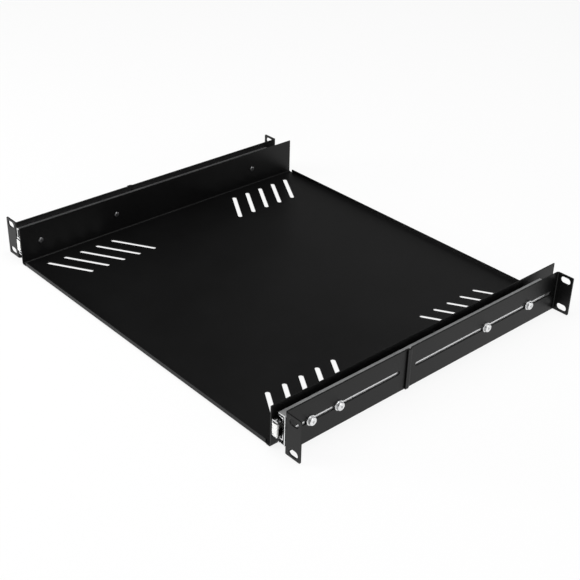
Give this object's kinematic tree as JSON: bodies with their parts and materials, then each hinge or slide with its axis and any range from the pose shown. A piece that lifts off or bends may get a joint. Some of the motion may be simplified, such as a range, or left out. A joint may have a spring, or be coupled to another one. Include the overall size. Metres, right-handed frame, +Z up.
{
  "type": "sliding rack shelf",
  "caption": "Vented one-unit pull-out shelf for a 19 inch rack, on ball-bearing slides with depth-adjustable ear brackets.",
  "frame": {"origin": "centre of the front rack-hole pattern, on the front face of the front ears", "axes": "+X to the right seen from the front, +Y into the rack, +Z up"},
  "size_m": [0.4826, 0.39, 0.0439],
  "materials": {
    "black_powder_coat": "fine-textured black powder coat on folded sheet steel",
    "zinc_plate": "bright zinc plating on rolled and turned steel",
    "bearing_steel": "polished bearing steel",
    "white_plastic": "white moulded acetal",
    "black_screws": "black oxide on machined steel"
  },
  "bodies": {
    "root": {"left_front_bolt_1": "zinc_plate", "left_front_bolt_2": "zinc_plate", "left_front_bracket": "black_powder_coat", "left_front_washer_1": "zinc_plate", "left_front_washer_2": "zinc_plate", "left_outer_member": "zinc_plate", "left_rear_bolt_1": "zinc_plate", "left_rear_bolt_2": "zinc_plate", "left_rear_stop": "white_plastic", "left_rear_washer_1": "zinc_plate", "left_rear_washer_2": "zinc_plate", "right_front_bolt_1": "zinc_plate", "right_front_bolt_2": "zinc_plate", "right_front_bracket": "black_powder_coat", "right_front_washer_1": "zinc_plate", "right_front_washer_2": "zinc_plate", "right_outer_member": "zinc_plate", "right_rear_bolt_1": "zinc_plate", "right_rear_bolt_2": "zinc_plate", "right_rear_stop": "white_plastic", "right_rear_washer_1": "zinc_plate", "right_rear_washer_2": "zinc_plate"},
    "tray": {"left_front_plug": "white_plastic", "left_inner_member": "zinc_plate", "left_tray_screw_1": "black_screws", "left_tray_screw_2": "black_screws", "left_tray_screw_3": "black_screws", "right_front_plug": "white_plastic", "right_inner_member": "zinc_plate", "right_tray_screw_1": "black_screws", "right_tray_screw_2": "black_screws", "right_tray_screw_3": "black_screws", "tray": "black_powder_coat"},
    "left_middle": {"left_middle_member": "zinc_plate"},
    "left_outer_cage": {"left_outer_retainer": "zinc_plate", "left_outer_balls": "bearing_steel"},
    "left_inner_cage": {"left_inner_retainer": "zinc_plate", "left_inner_balls": "bearing_steel"},
    "left_rear_bracket": {"left_rear_bracket": "black_powder_coat"},
    "right_middle": {"right_middle_member": "zinc_plate"},
    "right_outer_cage": {"right_outer_retainer": "zinc_plate", "right_outer_balls": "bearing_steel"},
    "right_inner_cage": {"right_inner_retainer": "zinc_plate", "right_inner_balls": "bearing_steel"},
    "right_rear_bracket": {"right_rear_bracket": "black_powder_coat"}
  },
  "joints": [
    {"name": "tray_slide", "type": "slide", "parent": "root", "child": "tray", "axis": [0, -1, 0], "range_m": [0, 0.32]},
    {"name": "left_middle_slide", "type": "slide", "parent": "root", "child": "left_middle", "axis": [0, -1, 0], "range_m": [0, 0.16]},
    {"name": "left_outer_cage_slide", "type": "slide", "parent": "root", "child": "left_outer_cage", "axis": [0, -1, 0], "range_m": [0, 0.08]},
    {"name": "left_inner_cage_slide", "type": "slide", "parent": "root", "child": "left_inner_cage", "axis": [0, -1, 0], "range_m": [0, 0.24]},
    {"name": "right_middle_slide", "type": "slide", "parent": "root", "child": "right_middle", "axis": [0, -1, 0], "range_m": [0, 0.16]},
    {"name": "right_outer_cage_slide", "type": "slide", "parent": "root", "child": "right_outer_cage", "axis": [0, -1, 0], "range_m": [0, 0.08]},
    {"name": "right_inner_cage_slide", "type": "slide", "parent": "root", "child": "right_inner_cage", "axis": [0, -1, 0], "range_m": [0, 0.24]},
    {"name": "left_depth_adjust", "type": "slide", "parent": "root", "child": "left_rear_bracket", "axis": [0, 1, 0], "range_m": [0, 0.095]},
    {"name": "right_depth_adjust", "type": "slide", "parent": "root", "child": "right_rear_bracket", "axis": [0, 1, 0], "range_m": [0, 0.095]}
  ],
  "couplings": [
    {"joint": "left_middle_slide", "follows": "tray_slide", "ratio": 0.5},
    {"joint": "left_outer_cage_slide", "follows": "tray_slide", "ratio": 0.25},
    {"joint": "left_inner_cage_slide", "follows": "tray_slide", "ratio": 0.75},
    {"joint": "right_middle_slide", "follows": "tray_slide", "ratio": 0.5},
    {"joint": "right_outer_cage_slide", "follows": "tray_slide", "ratio": 0.25},
    {"joint": "right_inner_cage_slide", "follows": "tray_slide", "ratio": 0.75}
  ]
}
